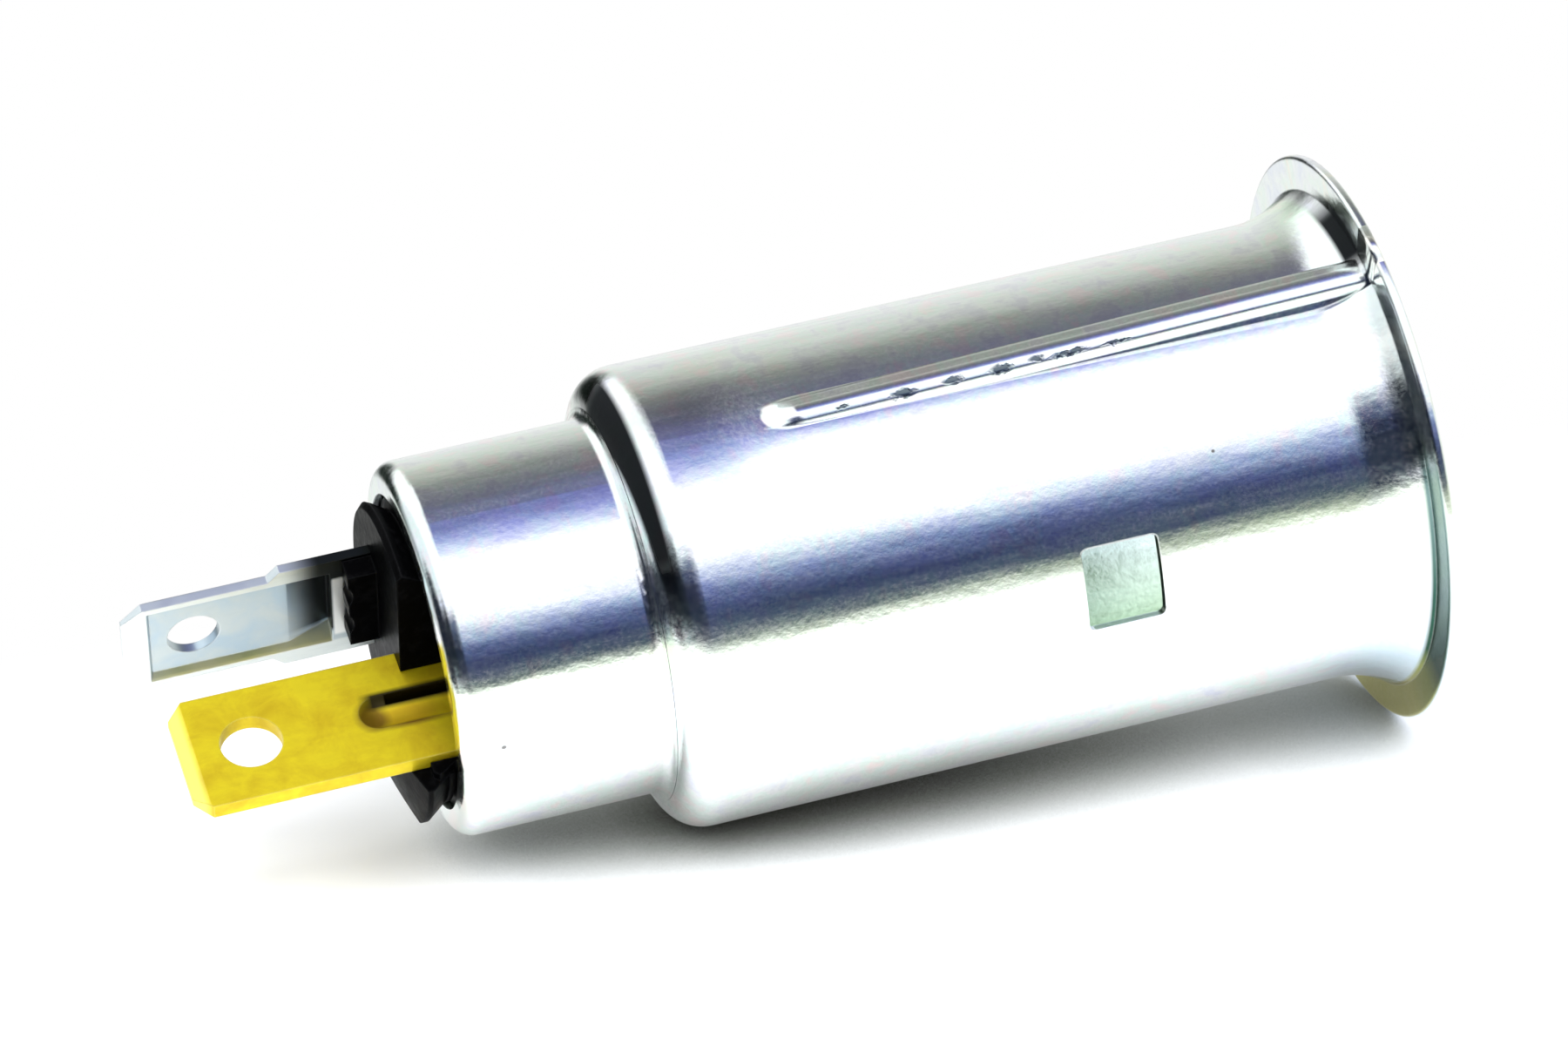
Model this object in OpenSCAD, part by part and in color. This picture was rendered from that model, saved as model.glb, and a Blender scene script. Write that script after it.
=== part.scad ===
// Panel-mounted 12 V accessory socket: a stepped drawn steel shell with a flanged
// mouth, a moulded insulator in its rear end, and two flat blades at right angles.
// Millimetres. +X runs out of the mouth along the axis, +Z is up, and the origin is
// where the axis meets the back of the flange, the face that seats on the panel.
//
// Every piece is drawn in a working frame: z along the axis (mouth at +z, back of the
// flange at z = 0), x towards the key rib, y towards the live blade. in_place() turns
// that frame into the socket's own.

/* [Shell] */
// Inside diameter of the plug bore
bore_d = 21; // [20.8:0.1:21.8]
// Thickness of the drawn sheet
wall = 0.5; // [0.4:0.05:0.6]
// Back of the flange to the rear face of the shoulder
sleeve_len = 36; // [32:0.5:44]
// Outer radius of the shoulder's bend
shoulder_r = 1.9; // [1.2:0.1:2.2]
// Outer fillet where the rear section meets the shoulder
shoulder_fillet = 0.5; // [0.3:0.1:0.7]
// Outside diameter of the rear section
rear_d = 17.8; // [17.4:0.1:18.2]
// Length of the rear section, shoulder to rear face
rear_len = 9.9; // [9.5:0.1:12]
// Outer corner radius of the rear end
rear_edge_r = 0.9; // [0.7:0.05:1.2]
// Hole in the rear end wall
end_hole_d = 15; // [14.8:0.1:15.2]

/* [Flange] */
// Outside diameter of the flange
flange_d = 27.4; // [26:0.1:30]
// Length of the flared neck behind the flange
neck_len = 3.2; // [2.4:0.1:3.8]
// Radius of the neck's flare
neck_r = 5.3; // [4.8:0.1:8]
// Edge rounding of the flange
flange_edge_r = 0.18; // [0.1:0.02:0.2]

/* [Key rib] */
// Width of the pressed key rib
rib_w = 1.9; // [1.7:0.1:2.4]
// Height of the rib above the sleeve at the flange
rib_rise = 0.95; // [0.7:0.05:1.1]
// Length of the rib, from nothing to the flange
rib_len = 28.8; // [20:0.2:30]
// Corner rounding along the top of the rib
rib_top_r = 0.35; // [0.2:0.05:0.6]
// Turn of the rib from the top of the socket, towards -Y
key_roll = 30; // [0:5:90]

/* [Retaining windows] */
// Length of a window along the axis
window_len = 3.7; // [3:0.1:4.5]
// Width of a window round the sleeve
window_w = 4; // [3:0.05:4.5]
// Corner radius of a window
window_r = 0.3; // [0.1:0.05:0.6]
// Back of the flange to the middle of the windows
window_z = 14.7; // [10:0.1:22]
// Turn of the first window from the rib
window_turn = 61; // [40:1:90]

/* [Blades] */
// Sheet thickness of the live blade
blade_t = 0.8; // [0.6:0.05:0.9]
// Width of the live blade
live_w = 6.3; // [5.8:0.1:6.4]
// Reach of the live blade behind the rear face
live_reach = 11.95; // [10:0.05:14]
// Hole in the live blade
live_hole_d = 2.9; // [1.6:0.1:3.2]
// Tip of the live blade to the middle of its hole
live_hole_in = 3.35; // [2.6:0.05:4.5]
// Inner edge of the live blade from the axis
live_offset = 0.15; // [0.1:0.05:0.3]
// Corner cut of the live blade
live_corner = 0.8; // [0.4:0.1:1.2]
// Width of the live blade's root through the insulator
live_root_w = 2.8; // [2.2:0.1:3]
// Depth of the live blade's tip bevel, on each face
live_bevel_depth = 0.2; // [0.1:0.05:0.3]
// Length of the live blade's tip bevel
live_bevel_len = 0.7; // [0.4:0.05:1]
// Sheet thickness of the ground blade
ground_t = 0.5; // [0.4:0.05:0.6]
// Width of the ground blade
ground_w = 5.5; // [4.8:0.1:5.8]
// Width of the ground blade's base
ground_base_w = 6.6; // [6.2:0.1:7]
// Reach of the ground blade behind the rear face
ground_reach = 12.9; // [11:0.05:14]
// Length of the wider base behind the rear face
ground_base_reach = 5.35; // [4.5:0.05:6.5]
// Hole in the ground blade
ground_hole_d = 2.5; // [1.6:0.1:2.8]
// Tip of the ground blade to the middle of its hole
ground_hole_in = 3.4; // [2.6:0.05:4.5]
// Face of the ground blade from the axis
ground_offset = 3.65; // [3.5:0.05:3.9]
// Corner cut of the ground blade, along the blade
ground_corner = 1; // [0.8:0.05:1.6]
// Length of the coined bevel at the tip of the ground blade
ground_bevel_len = 1.2; // [0.8:0.05:1.6]
// Depth of that bevel, on each face
ground_bevel_depth = 0.12; // [0.05:0.01:0.15]

/* [Ground blade panel] */
// Depth of the panel embossed in the ground blade
panel_depth = 0.3; // [0.2:0.05:0.35]
// Plain margin beside the panel
panel_margin = 0.3; // [0.2:0.05:0.5]
// Run of the panel's sloping sides for each unit of depth
panel_slope = 1.2; // [1:0.1:1.5]
// Rear face to the root end of the panel
panel_end_reach = 3; // [2.8:0.1:3.4]
// Length of the ramp by which the panel deepens at its root
ramp_len = 2; // [1.5:0.1:2.5]
// Depth that the ramp adds
ramp_depth = 0.4; // [0.2:0.05:0.45]

/* [Live blade groove] */
// Length of the pressed stiffening groove seen behind the rear face
groove_reach = 3.5; // [2.5:0.1:4.5]
// Width of the groove
groove_w = 1.9; // [1.4:0.1:2.4]
// Depth of the groove
groove_depth = 0.4; // [0.2:0.05:0.5]
// Width of the slit lanced along the groove's inner edge
slit_w = 0.4; // [0.2:0.05:0.5]
// Start of the slit, from the round end of the groove
slit_start = 1.4; // [1:0.1:2]

/* [Insulator] */
// Radius of the lip outside the rear end
lip_r = 7.3; // [7.2:0.05:7.5]
// Reach of the lip behind the rear face
lip_reach = 1; // [0.8:0.05:1.2]
// Depth of the groove between the lip and the rear face
lip_groove = 0.6; // [0.3:0.05:0.7]
// Reach of the raised block behind the live blade
block_reach = 2.2; // [1.6:0.05:2.4]
// Outer radius of the block's rim
block_r = 7.8; // [7.5:0.05:7.9]
// Reach of the lug in front of the ground blade
lug_reach = 2.4; // [1.6:0.05:2.6]
// Height of the lug above the ground blade
lug_height = 1.1; // [0.8:0.1:1.3]
// Length of the insulator's body inside the shell
body_len = 4.1; // [3.8:0.1:4.5]
// Depth of the open channel in front of the live blade, below the rear face
channel_depth = 1.2; // [1:0.1:1.4]

/* [Contact stack] */
// Thickness of the insulating disc
disc_t = 1.2; // [0.8:0.1:1.4]
// Thickness of the centre contact
contact_t = 0.4; // [0.3:0.05:0.5]
// Radius of the centre contact over its petals
contact_r = 4.6; // [4.2:0.1:5]
// Height of the centre contact
contact_h = 2.6; // [2:0.1:3]
// Radius of the rivet's shank
rivet_r = 1.25; // [1:0.05:1.4]
// Radius of the rivet's head
rivet_head_r = 2; // [1.8:0.1:2.2]
// Height of the rivet's head
rivet_head_h = 0.7; // [0.5:0.05:0.9]
// Thickness of the retaining ring
ring_t = 0.4; // [0.3:0.05:0.5]
// Inside diameter of the retaining ring
ring_d = 12.4; // [12:0.1:13]
// Number of teeth round the retaining ring
ring_teeth = 12; // [8:1:16]

/* [Fits] */
// Clearance of the moulded parts inside the shell
fit_shell = 0.15; // [0.1:0.05:0.2]
// Clearance of a blade in its slot
fit_blade = 0.05; // [0.03:0.01:0.1]
// Clearance of the rivet in its holes
fit_rivet = 0.05; // [0.03:0.01:0.1]

/* [Hidden] */
$fn = 96;
eps = 0.01;
past = 1;

sleeve_r = bore_d / 2 + wall;
rear_r = rear_d / 2;
rear_bore_r = rear_r - wall;
flange_r = flange_d / 2;
end_hole_r = end_hole_d / 2;
shoulder_z = -sleeve_len;
rear_z = shoulder_z - rear_len;

// Stack inside the rear section, from the end wall towards the mouth
body_back_z = rear_z + wall;
body_front_z = body_back_z + body_len;
disc_front_z = body_front_z + disc_t;
contact_base_z = disc_front_z + contact_t;
foot_back_z = body_front_z - blade_t;
body_r = rear_bore_r - fit_shell;
hub_r = end_hole_r - fit_shell;

// Live blade
live_tip_z = rear_z - live_reach;
live_far_y = live_offset + live_w;
live_mid_y = live_offset + live_w / 2;
live_root_y = live_far_y - live_root_w;
live_neck_z = rear_z + channel_depth;
groove_start = rear_z - groove_reach;
groove_end = live_neck_z - 0.3;
groove_back_h = groove_depth / 2;
groove_back_w = groove_w - 2 * groove_back_h;
slit_z = groove_start + slit_start;
foot_rim = 0.9;
foot_r = rivet_head_r + foot_rim;
foot_arm_w = 2.6;
tail_rim = 0.65;
tail_r = rivet_r + tail_rim;
tail_h = 0.6;
tail_pocket_r = tail_r + 0.4;
tail_pocket_h = 1.4;

// Ground blade
ground_tip_z = rear_z - ground_reach;
ground_step_z = rear_z - ground_base_reach;
ground_back_y = -ground_offset - ground_t;
ground_tip_w = ground_w - 1.6;
ground_step = 0.55;
ground_bend_r = 0.3;
ground_foot_gap = 0.55;
ground_foot_r = rear_bore_r - ground_foot_gap;
ground_foot_w = 5;
panel_start_z = ground_tip_z + ground_bevel_len;
panel_end_z = rear_z - panel_end_reach;
panel_w = ground_w - 2 * panel_margin;
panel_end_run = 0.15;

// Rear insulator
ridge = 0.25;
block_x = 5.2;
block_inner_y = 1.2;
block_top_r = 5.4;
block_rim_reach = 1.45;
block_neck_r = 7.1;
channel_y = live_offset + 1.15;
lug_x = [-1.6, 3.2];
scallop_r = 0.95;
scallop_x = [1.85, -0.15];
scallop_depth = 0.22;

// Contact stack
petal_gap = 0.8;
petal_root = 0.1;
ring_tooth_h = 0.75;
ring_notch_w = 1.2;

// Turns the working frame (z out of the mouth, x to the rib) into the socket's own
module in_place() {
    rotate([key_roll, 0, 0]) rotate(180, [1, 0, 1]) children();
}

// Half profile of the shell's outside moved inwards by d, filled to the axis
module shell_profile(d) {
    corner = rear_edge_r - d;
    bend = shoulder_r - d;
    fillet = shoulder_fillet + d;
    flare = neck_r + d;
    face_z = shoulder_z + d;
    // rear section with its rounded end corner
    translate([0, rear_z + d]) square([rear_r - d - corner, rear_len + past]);
    translate([0, rear_z + d + corner]) square([rear_r - d, rear_len + past]);
    translate([rear_r - d - corner, rear_z + d + corner]) circle(corner);
    // fillet into the shoulder
    difference() {
        translate([rear_r - d - eps, face_z - fillet]) square([fillet + eps, fillet + eps]);
        translate([rear_r - d + fillet, face_z - fillet]) circle(fillet);
    }
    // sleeve with the shoulder's bend
    translate([0, face_z]) square([sleeve_r - d - bend, sleeve_len]);
    translate([0, face_z + bend]) square([sleeve_r - d, sleeve_len - bend]);
    translate([sleeve_r - d - bend, face_z + bend]) circle(bend);
    // flared neck
    difference() {
        translate([0, -neck_len]) square([sleeve_r - d + neck_len, neck_len + d]);
        translate([sleeve_r - d + flare, -neck_len]) circle(flare);
    }
}

// Half profile of the flange with rounded edges
module flange_profile() {
    translate([0, 0]) square([flange_r - flange_edge_r, wall]);
    translate([0, flange_edge_r]) square([flange_r, wall - 2 * flange_edge_r]);
    translate([flange_r - flange_edge_r, flange_edge_r]) circle(flange_edge_r);
    translate([flange_r - flange_edge_r, wall - flange_edge_r]) circle(flange_edge_r);
}

// Section of the rib: a bar w wide with rounded top corners, its top at x = 0
module rib_section(w, depth, top_r) {
    translate([-depth, -w / 2]) square([depth - top_r, w]);
    translate([-depth, -w / 2 + top_r]) square([depth, w - 2 * top_r]);
    for (side = [-1, 1])
        translate([-top_r, side * (w / 2 - top_r)]) circle(top_r);
}

// The rib climbs from the sleeve's surface to its full height at the flange
module rib_bar(w, depth, top_r, sunk) {
    slope = atan(rib_rise / rib_len);
    intersection() {
        translate([sleeve_r + rib_rise - sunk, 0, 0]) rotate([0, slope, 0])
            translate([0, 0, -rib_len - 3 * past]) linear_extrude(rib_len + 4 * past)
                rib_section(w, depth, top_r);
        translate([0, -w, -rib_len - 2 * past])
            cube([flange_r, 2 * w, rib_len + 2 * past + wall / 2]);
    }
}

// Rounded rectangle in the plane, its middle at the origin
module rounded_rect(len_x, len_y, r) {
    square([len_x - 2 * r, len_y], center = true);
    square([len_x, len_y - 2 * r], center = true);
    for (sx = [-1, 1], sy = [-1, 1])
        translate([sx * (len_x / 2 - r), sy * (len_y / 2 - r)]) circle(r);
}

// Cuts both retaining windows, which face each other across the bore
module windows() {
    for (turn = [window_turn, window_turn + 180])
        rotate([0, 0, turn]) translate([bore_d / 2 - past, 0, -window_z]) rotate([0, 90, 0])
            linear_extrude(wall + 2 * past) rounded_rect(window_len, window_w, window_r);
}

// Drawn shell: flange, flared neck, sleeve with its rib and windows, shoulder, rear end
module shell() {
    color([0.78, 0.80, 0.84]) in_place() difference() {
        union() {
            rotate_extrude() {
                shell_profile(0);
                flange_profile();
            }
            rib_bar(rib_w, 2 * rib_rise + wall, rib_top_r, 0);
        }
        rotate_extrude() shell_profile(wall);
        translate([0, 0, rear_z - past]) cylinder(r = end_hole_r, h = wall + 2 * past);
        rib_bar(rib_w - 2 * wall, 2 * rib_rise + wall, rib_top_r / 2, wall);
        windows();
    }
}

// Half profile of the insulator: lip, V groove, hub in the end hole, body inside
module insulator_profile() {
    end_corner = rear_edge_r - wall;
    polygon([
        [0, rear_z - lip_reach],
        [lip_r - ridge, rear_z - lip_reach],
        [lip_r, rear_z - lip_reach + ridge],
        [lip_r - ridge / 2, rear_z - lip_reach + 2 * ridge],
        [hub_r - lip_groove, rear_z + wall / 4],
        [hub_r, rear_z + wall - fit_shell],
        [hub_r, body_back_z],
        [body_r - end_corner, body_back_z],
        [body_r, body_back_z + end_corner],
        [body_r, body_front_z - ridge],
        [body_r - ridge, body_front_z],
        [0, body_front_z]
    ]);
}

// Raised block behind the live blade: it slopes out to a rim that overhangs the V groove
module live_block() {
    top_z = rear_z - block_reach;
    intersection() {
        translate([-block_x, block_inner_y, top_z - past])
            cube([block_x - blade_t / 2 - fit_blade, body_r, block_reach + 2 * past]);
        rotate_extrude() polygon([
            [0, top_z],
            [block_top_r, top_z],
            [block_r, rear_z - block_rim_reach],
            [block_r, rear_z - block_rim_reach + ridge],
            [block_neck_r, rear_z - ridge],
            [block_neck_r, rear_z],
            [0, rear_z]
        ]);
    }
}

// Lug in front of the ground blade, with two shallow scallops in its edge
module ground_lug() {
    front_z = rear_z - lug_reach;
    difference() {
        translate([lug_x[0], -ground_offset + fit_blade, front_z])
            cube([lug_x[1] - lug_x[0], lug_height, lug_reach]);
        for (x = scallop_x)
            translate([x, -ground_offset - past, front_z - scallop_r + scallop_depth])
                rotate([-90, 0, 0]) cylinder(r = scallop_r, h = lug_height + 2 * past);
    }
}

// Room for the ground blade: the slot it passes through, its foot, and the bend between them
module ground_room() {
    across = ground_base_w + 2 * fit_blade;
    relief = ground_bend_r + fit_blade;
    translate([-across / 2, ground_back_y - fit_blade, rear_z - lug_reach])
        cube([across, ground_t + 2 * fit_blade, lug_reach + wall + ground_t + fit_blade]);
    translate([-across / 2, -body_r - past, body_back_z - eps])
        cube([across, body_r + past + ground_back_y, ground_t + fit_blade + eps]);
    translate([-across / 2, ground_back_y - relief, body_back_z - relief])
        cube([across, relief, relief + ground_t + fit_blade]);
}

// Room for the live blade: its slot, the open channel in front, its root, foot and rivet
module live_room() {
    slot = blade_t + 2 * fit_blade;
    back_z = rear_z - block_reach - past;
    slot_len = block_reach + past + channel_depth + fit_blade;
    translate([-slot / 2, live_offset - fit_blade, back_z]) cube([slot, live_w + 2 * fit_blade, slot_len]);
    translate([0, channel_y, back_z]) cube([body_r, body_r, slot_len]);
    groove_back(fit_blade);
    translate([-slot / 2, live_root_y - fit_blade, rear_z])
        cube([slot, live_root_w + 2 * fit_blade, wall + body_len + past]);
    translate([0, 0, foot_back_z]) linear_extrude(blade_t + past) foot_outline(fit_blade);
    translate([0, 0, foot_back_z - tail_pocket_h]) cylinder(r = tail_pocket_r, h = tail_pocket_h + eps);
}

module rear_insulator() {
    color([0.06, 0.06, 0.07]) in_place() difference() {
        union() {
            rotate_extrude() insulator_profile();
            live_block();
            ground_lug();
        }
        ground_room();
        live_room();
    }
}

// Outline of the live blade's foot, grown by fit
module foot_outline(fit) {
    circle(foot_r + fit);
    translate([-blade_t / 2 - fit, 0]) square([foot_arm_w + 2 * fit, live_far_y + fit]);
}

// Side view of the live blade: y across, z along, with cut tip corners
module live_outline() {
    polygon([
        [live_offset + live_corner, live_tip_z],
        [live_far_y - live_corner, live_tip_z],
        [live_far_y, live_tip_z + live_corner],
        [live_far_y, live_neck_z],
        [live_far_y, foot_back_z + blade_t],
        [live_root_y, foot_back_z + blade_t],
        [live_root_y, live_neck_z],
        [live_offset, live_neck_z],
        [live_offset, live_tip_z + live_corner]
    ]);
}

// Lays a y-z outline down as a plate across x, from x0, t thick
module plate_yz(x0, t) {
    translate([x0, 0, 0]) rotate([90, 0, 90]) linear_extrude(t) children();
}

// Rounded trough below x = 0, w wide and d deep: a cylinder that ends in a sphere
module trough(w, d, z_start, z_end) {
    r = (w * w / 4 + d * d) / (2 * d);
    translate([r - d, live_mid_y, z_start + w / 2]) {
        cylinder(r = r, h = z_end - z_start - w / 2);
        sphere(r);
    }
}

// Metal pushed out behind the groove, grown by fit where the insulator makes room for it
module groove_back(fit) {
    intersection() {
        translate([-blade_t / 2, 0, 0]) trough(groove_back_w + 2 * fit, groove_back_h + fit,
            groove_start + groove_back_h - fit, groove_end + fit);
        translate([-2 * blade_t, live_offset, live_tip_z])
            cube([2 * blade_t - blade_t / 4, live_w, -live_tip_z]);
    }
}

module live_blade() {
    half = blade_t / 2;
    cut = half - live_bevel_depth;
    color([0.86, 0.68, 0.22]) in_place() difference() {
        union() {
            plate_yz(-half, blade_t) live_outline();
            groove_back(0);
            translate([0, 0, foot_back_z]) linear_extrude(blade_t) foot_outline(0);
        }
        // hole for the connector's detent
        translate([-blade_t, live_mid_y, live_tip_z + live_hole_in]) rotate([0, 90, 0])
            cylinder(d = live_hole_d, h = 2 * blade_t);
        // pressed groove and the slit along its inner edge
        translate([half, 0, 0]) trough(groove_w, groove_depth, groove_start, groove_end);
        plate_yz(-blade_t, 2 * blade_t) translate([live_mid_y - groove_w / 2, slit_z])
            square([slit_w, groove_end - slit_z]);
        // coined bevel at the tip, on both faces
        for (side = [-1, 1])
            translate([0, live_far_y + past, 0]) rotate([90, 0, 0]) linear_extrude(live_far_y + 2 * past)
                polygon([
                    [side * cut, live_tip_z - past],
                    [side * cut, live_tip_z],
                    [side * half, live_tip_z + live_bevel_len],
                    [side * (half + past), live_tip_z + live_bevel_len],
                    [side * (half + past), live_tip_z - past]
                ]);
        translate([0, 0, foot_back_z - past]) cylinder(r = rivet_r + fit_rivet, h = blade_t + 2 * past);
    }
}

// Flat view of the ground blade outside the shell: x across, z along
module ground_outline() {
    polygon([
        [-ground_tip_w / 2, ground_tip_z],
        [ground_tip_w / 2, ground_tip_z],
        [ground_w / 2, ground_tip_z + ground_corner],
        [ground_w / 2, ground_step_z - ground_step],
        [ground_base_w / 2, ground_step_z],
        [ground_base_w / 2, body_back_z + ground_t],
        [-ground_base_w / 2, body_back_z + ground_t],
        [-ground_base_w / 2, ground_step_z],
        [-ground_w / 2, ground_step_z - ground_step],
        [-ground_w / 2, ground_tip_z + ground_corner]
    ]);
}

// Section of the bent blade, y against z: plate, bend and the foot on the end wall
module ground_section() {
    outer = ground_bend_r + ground_t;
    bend_y = ground_back_y - ground_bend_r;
    bend_z = body_back_z - ground_bend_r;
    translate([ground_back_y, ground_tip_z]) square([ground_t, bend_z - ground_tip_z]);
    intersection() {
        difference() {
            translate([bend_y, bend_z]) circle(outer);
            translate([bend_y, bend_z]) circle(ground_bend_r);
        }
        translate([bend_y, bend_z]) square(2 * outer);
    }
    translate([-ground_foot_r, body_back_z]) square([bend_y + ground_foot_r, ground_t]);
}

// Flat blade with its base, bent outwards to the foot that lies on the end wall
module ground_sheet() {
    intersection() {
        plate_yz(-ground_base_w / 2, ground_base_w) ground_section();
        union() {
            translate([0, -ground_offset + eps, 0]) rotate([90, 0, 0])
                linear_extrude(ground_t + 2 * eps) ground_outline();
            translate([-ground_foot_w / 2, -rear_r, rear_z])
                cube([ground_foot_w, rear_r - ground_offset, body_len]);
        }
        cylinder(r = ground_foot_r, h = 2 * (sleeve_len + rear_len + ground_reach), center = true);
    }
}

// Sloping sides of the embossed panel, its front face at y = 0
module panel_sides() {
    deep = panel_depth + ramp_depth;
    floor_w = panel_w - 2 * deep * panel_slope;
    translate([0, 0, ground_tip_z]) linear_extrude(ground_reach) polygon([
        [-panel_w / 2, past],
        [-panel_w / 2, 0],
        [-floor_w / 2, -deep],
        [floor_w / 2, -deep],
        [panel_w / 2, 0],
        [panel_w / 2, past]
    ]);
}

// Hollow of the panel: its floor, the ramp that deepens it at the root, and the end step
module panel_hollow() {
    translate([0, -ground_offset, 0]) intersection() {
        panel_sides();
        plate_yz(-panel_w, 2 * panel_w) polygon([
            [past, panel_start_z],
            [0, panel_start_z],
            [-panel_depth, panel_start_z + panel_end_run],
            [-panel_depth, panel_end_z - ramp_len],
            [-panel_depth - ramp_depth, panel_end_z],
            [past, panel_end_z]
        ]);
    }
}

// Metal that the panel pushes out behind the blade
module panel_back() {
    root_z = panel_end_z + ground_t - panel_end_run;
    translate([0, ground_back_y, 0]) intersection() {
        panel_sides();
        plate_yz(-panel_w, 2 * panel_w) polygon([
            [ground_t / 2, panel_start_z - panel_end_run],
            [0, panel_start_z - panel_end_run],
            [-panel_depth, panel_start_z],
            [-panel_depth, panel_end_z - ramp_len],
            [-panel_depth - ramp_depth, panel_end_z],
            [-panel_depth - ramp_depth, root_z],
            [ground_t / 2, root_z]
        ]);
    }
}

module ground_blade() {
    front_cut = -ground_offset - ground_bevel_depth;
    back_cut = ground_back_y + ground_bevel_depth;
    bevel_z = ground_tip_z + ground_bevel_len;
    color([0.74, 0.79, 0.80]) in_place() difference() {
        union() {
            ground_sheet();
            panel_back();
        }
        panel_hollow();
        // hole for the connector's detent
        translate([0, -rear_r, ground_tip_z + ground_hole_in]) rotate([-90, 0, 0])
            cylinder(d = ground_hole_d, h = rear_r);
        // coined bevel across the tip, on both faces
        plate_yz(-ground_w, 2 * ground_w) {
            polygon([[front_cut, ground_tip_z], [-ground_offset, bevel_z], [-ground_offset + past, bevel_z],
                     [-ground_offset + past, ground_tip_z - past], [front_cut, ground_tip_z - past]]);
            polygon([[back_cut, ground_tip_z], [ground_back_y, bevel_z], [ground_back_y - past, bevel_z],
                     [ground_back_y - past, ground_tip_z - past], [back_cut, ground_tip_z - past]]);
        }
    }
}

module insulating_disc() {
    color([0.12, 0.10, 0.09]) in_place() translate([0, 0, body_front_z]) difference() {
        cylinder(r = body_r, h = disc_t);
        translate([0, 0, -past]) cylinder(r = rivet_r + fit_rivet, h = disc_t + 2 * past);
    }
}

// Dished spring contact with four petals round a riveted base
module centre_contact() {
    base_r = rivet_head_r + contact_t;
    rim_z = disc_front_z + contact_h;
    color([0.86, 0.68, 0.22]) in_place() difference() {
        rotate_extrude() polygon([
            [rivet_r + fit_rivet, disc_front_z],
            [base_r, disc_front_z],
            [contact_r - contact_t, rim_z - 2 * contact_t],
            [contact_r, rim_z - 2 * contact_t],
            [contact_r, rim_z - contact_t],
            [contact_r - contact_t, rim_z],
            [contact_r - 2 * contact_t, rim_z - contact_t],
            [base_r - contact_t / 2, contact_base_z],
            [rivet_r + fit_rivet, contact_base_z]
        ]);
        for (turn = [0, 90])
            rotate([0, 0, turn]) translate([-contact_r - past, -petal_gap / 2, contact_base_z + petal_root])
                cube([2 * contact_r + 2 * past, petal_gap, contact_h]);
    }
}

// Rivet through the contact, the disc and the live blade's foot
module centre_rivet() {
    color([0.80, 0.64, 0.26]) in_place() {
        translate([0, 0, foot_back_z - tail_h / 2])
            cylinder(r = rivet_r, h = contact_base_z - foot_back_z + tail_h);
        translate([0, 0, foot_back_z - tail_h]) cylinder(r = tail_r, h = tail_h);
        // domed head
        intersection() {
            translate([0, 0, contact_base_z]) cylinder(r = rivet_head_r, h = rivet_head_h);
            translate([0, 0, contact_base_z + rivet_head_h - 2 * rivet_head_r]) sphere(2 * rivet_head_r);
        }
    }
}

// Toothed spring ring that grips the rear section and holds the stack against the end wall
module retaining_ring() {
    tooth_r = rear_bore_r - fit_rivet;
    color([0.55, 0.56, 0.58]) in_place() translate([0, 0, disc_front_z]) difference() {
        cylinder(r = tooth_r, h = ring_t);
        translate([0, 0, -past]) cylinder(d = ring_d, h = ring_t + 2 * past);
        for (i = [0 : ring_teeth - 1])
            rotate([0, 0, 360 * i / ring_teeth])
                translate([tooth_r - ring_tooth_h, -ring_notch_w / 2, -past])
                    cube([2 * ring_tooth_h, ring_notch_w, ring_t + 2 * past]);
    }
}

shell();
rear_insulator();
live_blade();
ground_blade();
insulating_disc();
centre_contact();
centre_rivet();
retaining_ring();
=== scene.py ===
import math

import bmesh
import bpy
from mathutils import Matrix, Vector

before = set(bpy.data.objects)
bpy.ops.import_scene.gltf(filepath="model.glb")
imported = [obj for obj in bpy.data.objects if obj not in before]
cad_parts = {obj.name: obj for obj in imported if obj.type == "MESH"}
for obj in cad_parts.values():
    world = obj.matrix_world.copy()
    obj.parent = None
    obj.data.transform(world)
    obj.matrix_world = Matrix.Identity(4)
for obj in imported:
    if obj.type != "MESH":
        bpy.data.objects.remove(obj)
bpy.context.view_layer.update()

MM = 0.001

# Camera of the photograph, in metres: where it stands, what it looks at, and how it is turned
CAMERA_PLACE = Vector((-0.09390, -0.29670, 0.11845))
CAMERA_TARGET = Vector((-0.02742, 0.00101, 0.00177))
CAMERA_ROLL = math.radians(-8.33)
CAMERA_LENS = 160

# The floor, in metres: the socket lies on the edge of its flange and on the bend of its shoulder
FLOOR_CENTRE_X = -0.027
FLOOR_TOUCH = Vector((0.00025, 0, -0.01370))
FLOOR_SLOPE = -0.0788
FLOOR_HALF_LENGTH = 0.130
FLOOR_FRONT_Y = -0.130
FLOOR_BACK_Y = 0.038
FLOOR_STEPS_X = 52
FLOOR_STEPS_Y = 34
# Outside the flat radius it drops by the bend times the square of the distance, and once more
# behind the rear x by the rear bend
FLOOR_FLAT_RADIUS = 0.075
FLOOR_BEND = 6.0
FLOOR_REAR_X = -0.068
FLOOR_REAR_BEND = 8.0

# A pair of limits says where a mask is 0 and where it is 1. Four limits are a band's: where it
# starts, is full, begins to fade and ends.

# The paper, in metres: plain white beyond these limits, and the reach of the shadow on it, which
# is lifted towards the mouth and under the rear section
PAPER_FAR = (0.060, 0.100)
PAPER_BEHIND_Y = (0.018, 0.034)
SHADOW_REACH = 0.008
SHADOW_SAMPLES = 6
MOUTH_LIFT_X = (-0.022, -0.002)
MOUTH_LIFT = 0.14
REAR_LIFT_X = (-0.034, -0.038)
REAR_LIFT = 0.075
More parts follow.
